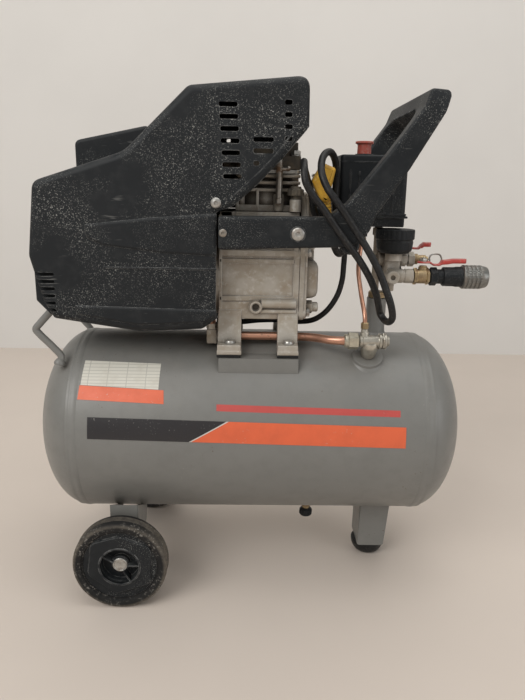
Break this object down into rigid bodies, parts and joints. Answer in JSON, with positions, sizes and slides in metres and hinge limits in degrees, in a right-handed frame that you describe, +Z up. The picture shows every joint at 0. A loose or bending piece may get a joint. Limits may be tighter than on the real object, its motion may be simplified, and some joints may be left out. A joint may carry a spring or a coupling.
{
  "type": "wheeled air compressor",
  "caption": "Wheeled oil-lubricated air compressor: horizontal grey tank, cast pump and shrouded motor above, U-shaped black handle, pressure switch, regulator and ball valves.",
  "frame": {"origin": "on the floor, under the middle of the object's length and width measured without the mains lead and plug", "axes": "+X along the tank towards the hose outlet, +Y to the side away from the hose valve, +Z up"},
  "size_m": [0.5896, 0.282, 0.6485],
  "materials": {
    "tank_paint": "grey gloss paint, dusty and stained",
    "black_shroud": "black moulded plastic with white dust and scuffs",
    "black_handle": "black moulded plastic, ribbed on the grip",
    "black_plastic": "black moulded plastic",
    "wheel_tread": "hard rubber, dusty grey-beige",
    "foot_rubber": "worn black rubber",
    "cast_alloy": "rough die-cast alloy with brown stains",
    "dark_alloy": "heat-darkened cast alloy",
    "steel": "zinc-plated steel, lightly rusted",
    "lamination": "varnished laminated steel",
    "brass": "tarnished brass",
    "red_plastic": "red plastic coating, scratched",
    "coupler_black": "black grip with grey knurled end",
    "copper": "bare drawn copper, slightly oxidised",
    "needle": "black",
    "cable_rubber": "black cable sheath",
    "yellow_plastic": "yellow moulded plastic"
  },
  "bodies": {
    "frame": {"tank_shell": "tank_paint", "tank_head_left": "tank_paint", "tank_head_right": "tank_paint", "wheel_bracket_front": "tank_paint", "wheel_bracket_rear": "tank_paint", "saddle_front": "tank_paint", "saddle_rear": "tank_paint", "foot_leg": "tank_paint", "stay_rod": "tank_paint", "shroud_front": "black_shroud", "shroud_rear": "black_shroud", "handle": "black_handle", "intake_filter": "black_plastic", "oil_cap": "black_plastic", "switch_base": "black_plastic", "switch_cover": "black_plastic", "rubber_foot": "foot_rubber", "crankcase": "cast_alloy", "crankcase_cover": "cast_alloy", "cylinder": "cast_alloy", "end_bell": "cast_alloy", "manifold": "cast_alloy", "cylinder_head": "dark_alloy", "axle_bolt_front": "steel", "axle_bolt_rear": "steel", "valve_plate": "steel", "breather_pipe": "steel", "main_bearing": "steel", "coupler_body": "steel", "check_valve": "steel", "gauge_case": "steel", "stator": "lamination", "riser_bush": "brass", "ball_valve_front": "brass", "ball_valve_rear": "brass", "safety_valve": "brass", "drain_valve": "brass", "discharge_pipe": "copper", "unloader_tube": "copper", "motor_cable": "cable_rubber", "mains_lead": "cable_rubber", "mains_plug": "yellow_plastic"},
    "wheel_front": {"tyre_front": "wheel_tread", "wheel_hub_front": "black_plastic"},
    "wheel_rear": {"tyre_rear": "wheel_tread", "wheel_hub_rear": "black_plastic"},
    "shaft": {"crankshaft": "steel", "rotor": "lamination", "fan": "black_plastic"},
    "piston_body": {"piston": "cast_alloy"},
    "rod_body": {"connecting_rod": "cast_alloy"},
    "pressure_knob": {"regulator_knob": "black_plastic"},
    "power_knob": {"switch_knob": "red_plastic"},
    "front_lever": {"valve_lever_front": "red_plastic"},
    "rear_lever": {"valve_lever_rear": "red_plastic"},
    "sleeve": {"coupler_sleeve": "coupler_black"},
    "pointer": {"gauge_needle": "needle"},
    "relief_ring": {"safety_ring": "steel"},
    "drain_handle": {"drain_knob": "black_plastic"}
  },
  "joints": [
    {"name": "wheel_front_spin", "type": "hinge", "parent": "frame", "child": "wheel_front", "pos_m": [-0.17575, -0.1255, 0.06], "axis": [0, 1, 0], "continuous": true},
    {"name": "wheel_rear_spin", "type": "hinge", "parent": "frame", "child": "wheel_rear", "pos_m": [-0.17575, 0.1255, 0.06], "axis": [0, 1, 0], "continuous": true},
    {"name": "motor_spin", "type": "hinge", "parent": "frame", "child": "shaft", "pos_m": [-0.11025, 0, 0.415], "axis": [1, 0, 0], "continuous": true},
    {"name": "piston_stroke", "type": "slide", "parent": "frame", "child": "piston_body", "axis": [0, 0, 1], "range_m": [-0.038, 0]},
    {"name": "rod_swing", "type": "hinge", "parent": "piston_body", "child": "rod_body", "pos_m": [0.00575, 0, 0.52], "axis": [1, 0, 0], "range_deg": [-13, 13]},
    {"name": "power_knob_push", "type": "slide", "parent": "frame", "child": "power_knob", "axis": [0, 0, 1], "range_m": [-0.006, 0]},
    {"name": "regulator_turn", "type": "hinge", "parent": "frame", "child": "pressure_knob", "pos_m": [0.17175, -0.022, 0.46], "axis": [0, 0, 1], "range_deg": [-360, 360]},
    {"name": "front_lever_turn", "type": "hinge", "parent": "frame", "child": "front_lever", "pos_m": [0.21075, -0.025, 0.438], "axis": [0, 0, 1], "range_deg": [-90, 0]},
    {"name": "rear_lever_turn", "type": "hinge", "parent": "frame", "child": "rear_lever", "pos_m": [0.19375, 0.02, 0.45], "axis": [0, 0, 1], "range_deg": [0, 90]},
    {"name": "sleeve_pull", "type": "slide", "parent": "frame", "child": "sleeve", "axis": [1, 0, 0], "range_m": [-0.006, 0], "stiffness_N_per_m": 400},
    {"name": "pointer_turn", "type": "hinge", "parent": "frame", "child": "pointer", "pos_m": [0.17675, 0.024, 0.421], "axis": [0, -1, 0], "range_deg": [0, 270]},
    {"name": "relief_pull", "type": "slide", "parent": "frame", "child": "relief_ring", "axis": [1, 0, 0], "range_m": [0, 0.003], "stiffness_N_per_m": 500},
    {"name": "drain_turn", "type": "hinge", "parent": "frame", "child": "drain_handle", "pos_m": [0.07275, 0, 0.064], "axis": [0, 0, 1], "range_deg": [0, 360]}
  ]
}
